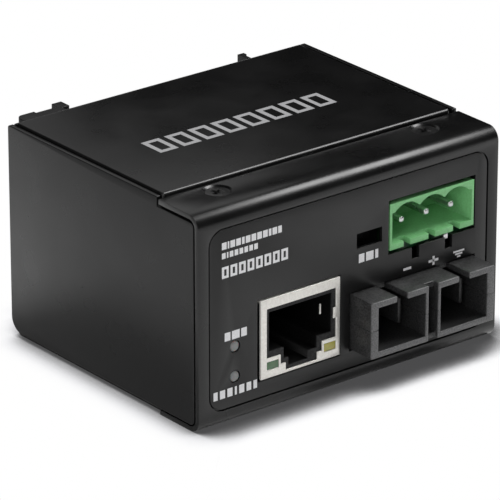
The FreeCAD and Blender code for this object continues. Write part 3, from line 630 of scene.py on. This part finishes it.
inkSettings = {
    "skin": 0.012,
    # rows of blocks on the front: left, foot, height, then the width of each block, and the gap between
    "frontRows": [
        (4.6, 29.45, 1.15, (0.9, 0.3, 0.9, 0.9, 0.5, 0.9, 0.9, 0.9, 0.9, 0.5, 0.9, 0.7), 0.22),
        (4.6, 27.95, 0.95, (0.7, 0.3, 0.7, 0.7, 0.7, 0.7, 0.7, 0.7), 0.25),
        (5.1, 14.2, 1.4, (1.1, 1.5, 1.1), 0.3),
        (2.9, 4.8, 1.4, (0.8, 1.0, 1.0, 0.4, 1.0, 0.9, 0.7), 0.45),
        (31.6, 20.25, 1.45, (1.1, 1.5, 0.6), 0.35),
        (40.7, 16.5, 0.42, (1.6,), 0.3),
        (45.9, 16.5, 0.42, (2.0,), 0.3),
    ],
    # upright bar of the plus sign and the three bars of the earth sign: left, foot, width, height
    "frontBars": [
        (46.69, 15.95, 0.42, 1.5),
        (51.0, 16.8, 2.3, 0.3), (51.4, 16.35, 1.5, 0.3), (51.8, 15.9, 0.7, 0.3),
    ],
    # rows of hollow frames: left, foot, width, height, gap, stroke, count
    "frontFrames": (4.6, 24.7, 1.3, 1.9, 0.35, 0.42, 8),
    "lidFrames": (11.0, 23.4, 3.5, 5.2, 1.05, 0.85, 8),
}


panelFront = corners("front_overlay")[0].y
caseLeft = corners("side_panel_left")[0].x
lidTop = corners("rear_wrap")[1].z


def rowBars(left, foot, height, widths, gap):
    # each block of a row, as left, foot, width and height
    for width in widths:
        yield left, foot, width, height
        left += width + gap


def frameBars(left, foot, width, height, gap, stroke, count):
    # the four bars of every hollow frame in a row, as left, foot, width and height
    for index in range(count):
        start = left + index * (width + gap)
        yield start, foot, stroke, height
        yield start + width - stroke, foot, stroke, height
        yield start + stroke, foot, width - 2 * stroke, stroke
        yield start + stroke, foot + height - stroke, width - 2 * stroke, stroke


def printMarks(name, bars, ink, place):
    skin = inkSettings["skin"] * mm
    marks = [block("mark", place(left, foot, -skin), place(left + width, foot + height, skin))
             for left, foot, width, height in bars]
    finish(join(marks, name), ink, "case", "front_foil")


def onFront(across, up, out):
    return caseLeft + across * mm, panelFront + out, up * mm


def onLid(across, inwards, up):
    return caseLeft + across * mm, caseFront + inwards * mm, lidTop + up


frontBars = inkSettings["frontBars"] + list(frameBars(*inkSettings["frontFrames"]))
for row in inkSettings["frontRows"]:
    frontBars += rowBars(*row)
printMarks("frontMarks", frontBars, printInk, onFront)
printMarks("lidMarks", frameBars(*inkSettings["lidFrames"]), lidInk, onLid)
print("stage: printed marks made")


# camera

cameraSettings = {
    "aim": (-0.01706, -0.02064, 0.02614),
    "azimuth": -38.53,
    "elevation": 22.75,
    "distance": 0.71605,
    "lens": 337.3,
    "sensor": 36,
    "nearest": 0.01,
    "farthest": 20,
}


def stand(azimuth, elevation, distance):
    # place and turn of something that looks at the aim: azimuth 0 is in front, 90 on the right
    around, above = math.radians(azimuth), math.radians(elevation)
    back = Vector((math.sin(around) * math.cos(above), -math.cos(around) * math.cos(above), math.sin(above)))
    place = Vector(cameraSettings["aim"]) + back * distance
    return {"location": place, "rotation": (-back).to_track_quat("-Z", "Y").to_euler()}


def makeCamera():
    s = cameraSettings
    bpy.ops.object.camera_add(**stand(s["azimuth"], s["elevation"], s["distance"]))
    camera = bpy.context.object
    camera.data.lens = s["lens"]
    camera.data.sensor_width = s["sensor"]
    camera.data.clip_start = s["nearest"]
    camera.data.clip_end = s["farthest"]
    bpy.context.scene.camera = camera


makeCamera()


# floor, backdrop colour and lamps

stageSettings = {
    "floorSize": 6.0,
    "paper": (0.9, 0.9, 0.9, 1),
    "paperRough": 0.9,
    "white": (1, 1, 1, 1),
    "ambient": 0.04,
    "seenInGloss": 0.0,
    # painted shadow on the floor: its shade by how open it is above, with the opening weighed towards a lean
    "contactReach": 7.0,
    "contactSamples": 16,
    "contactLean": (-0.30, 0.22, 0.93),
    "contactShade": [
        (0.45, grey(0.07)), (0.60, grey(0.15)), (0.72, grey(0.38)),
        (0.80, grey(0.66)), (0.90, grey(0.93)), (0.96, (1, 1, 1, 1)),
    ],
    "lamps": {
        # where each lamp stands round the object: azimuth, elevation, distance, size, power
        "mainSoftbox": (84, 52, 0.8, 0.45, 6.0),
        "topSoftbox": (60, 58, 0.8, 0.4, 1.2),
        "frontFill": (-45, 25, 0.24, 0.12, 0.19),
        "sideFill": (-90, 25, 0.24, 0.12, 0.13),
        "backFill": (156, 44, 0.16, 0.08, 0.0136),
        "backLow": (168, 24, 0.20, 0.10, 0.0104),
    },
}


def mixShaders(tree, share, first, second):
    mix = tree.nodes.new("ShaderNodeMixShader")
    tree.links.new(share, mix.inputs["Fac"])
    tree.links.new(first.outputs[0], mix.inputs[1])
    tree.links.new(second.outputs[0], mix.inputs[2])
    return mix


def paintedContactShadow(tree):
    # painted shadow: white light from the floor, darkened only where the object stands close over it
    near = tree.nodes.new("ShaderNodeAmbientOcclusion")
    near.inputs["Distance"].default_value = stageSettings["contactReach"] * mm
    near.samples = stageSettings["contactSamples"]
    lean = tree.nodes.new("ShaderNodeCombineXYZ")
    for axis, share in zip("XYZ", stageSettings["contactLean"]):
        lean.inputs[axis].default_value = share
    tree.links.new(lean.outputs["Vector"], near.inputs["Normal"])
    glow = tree.nodes.new("ShaderNodeEmission")
    tree.links.new(ramp(tree, near.outputs["AO"], stageSettings["contactShade"]), glow.inputs["Color"])
    return glow


def makeFloor():
    # pale paper for the light that falls on it, and the white glow with the painted contact shadow for
    # straight views
    deselectAll()
    bpy.ops.mesh.primitive_plane_add(size=stageSettings["floorSize"], location=(0, 0, 0))
    floor = bpy.context.object
    floor.name = "floor"
    material, tree, shader = newMaterial("floorPaper")
    shader.inputs["Base Color"].default_value = stageSettings["paper"]
    shader.inputs["Roughness"].default_value = stageSettings["paperRough"]
    shader.inputs["Specular IOR Level"].default_value = 0.0
    path = tree.nodes.new("ShaderNodeLightPath")
    mix = mixShaders(tree, path.outputs["Is Camera Ray"], shader, paintedContactShadow(tree))
    tree.links.new(mix.outputs[0], tree.nodes["Material Output"].inputs["Surface"])
    floor.data.materials.append(material)


def makeWorld():
    # white for straight views, dim for the light it gives, and dark in reflections
    world = bpy.data.worlds.new("studio")
    bpy.context.scene.world = world
    world.use_nodes = True
    tree = world.node_tree
    ambient = tree.nodes["Background"]
    gloss = tree.nodes.new("ShaderNodeBackground")
    seen = tree.nodes.new("ShaderNodeBackground")
    ambient.inputs["Strength"].default_value = stageSettings["ambient"]
    gloss.inputs["Strength"].default_value = stageSettings["seenInGloss"]
    for background in (ambient, gloss, seen):
        background.inputs["Color"].default_value = stageSettings["white"]
    path = tree.nodes.new("ShaderNodeLightPath")
    shiny = tree.nodes.new("ShaderNodeMath")
    shiny.operation = "MAXIMUM"
    tree.links.new(path.outputs["Is Glossy Ray"], shiny.inputs[0])
    tree.links.new(path.outputs["Is Transmission Ray"], shiny.inputs[1])
    unseen = mixShaders(tree, shiny.outputs[0], ambient, gloss)
    mix = mixShaders(tree, path.outputs["Is Camera Ray"], unseen, seen)
    tree.links.new(mix.outputs[0], tree.nodes["World Output"].inputs["Surface"])


def makeLamps():
    for name, (azimuth, elevation, distance, side, power) in stageSettings["lamps"].items():
        bpy.ops.object.light_add(type="AREA", **stand(azimuth, elevation, distance))
        lamp = bpy.context.object
        lamp.name = name
        lamp.data.size = side
        lamp.data.energy = power


makeFloor()
makeWorld()
makeLamps()
bpy.context.scene.view_settings.view_transform = "Standard"
print("stage: camera, floor and lamps made")
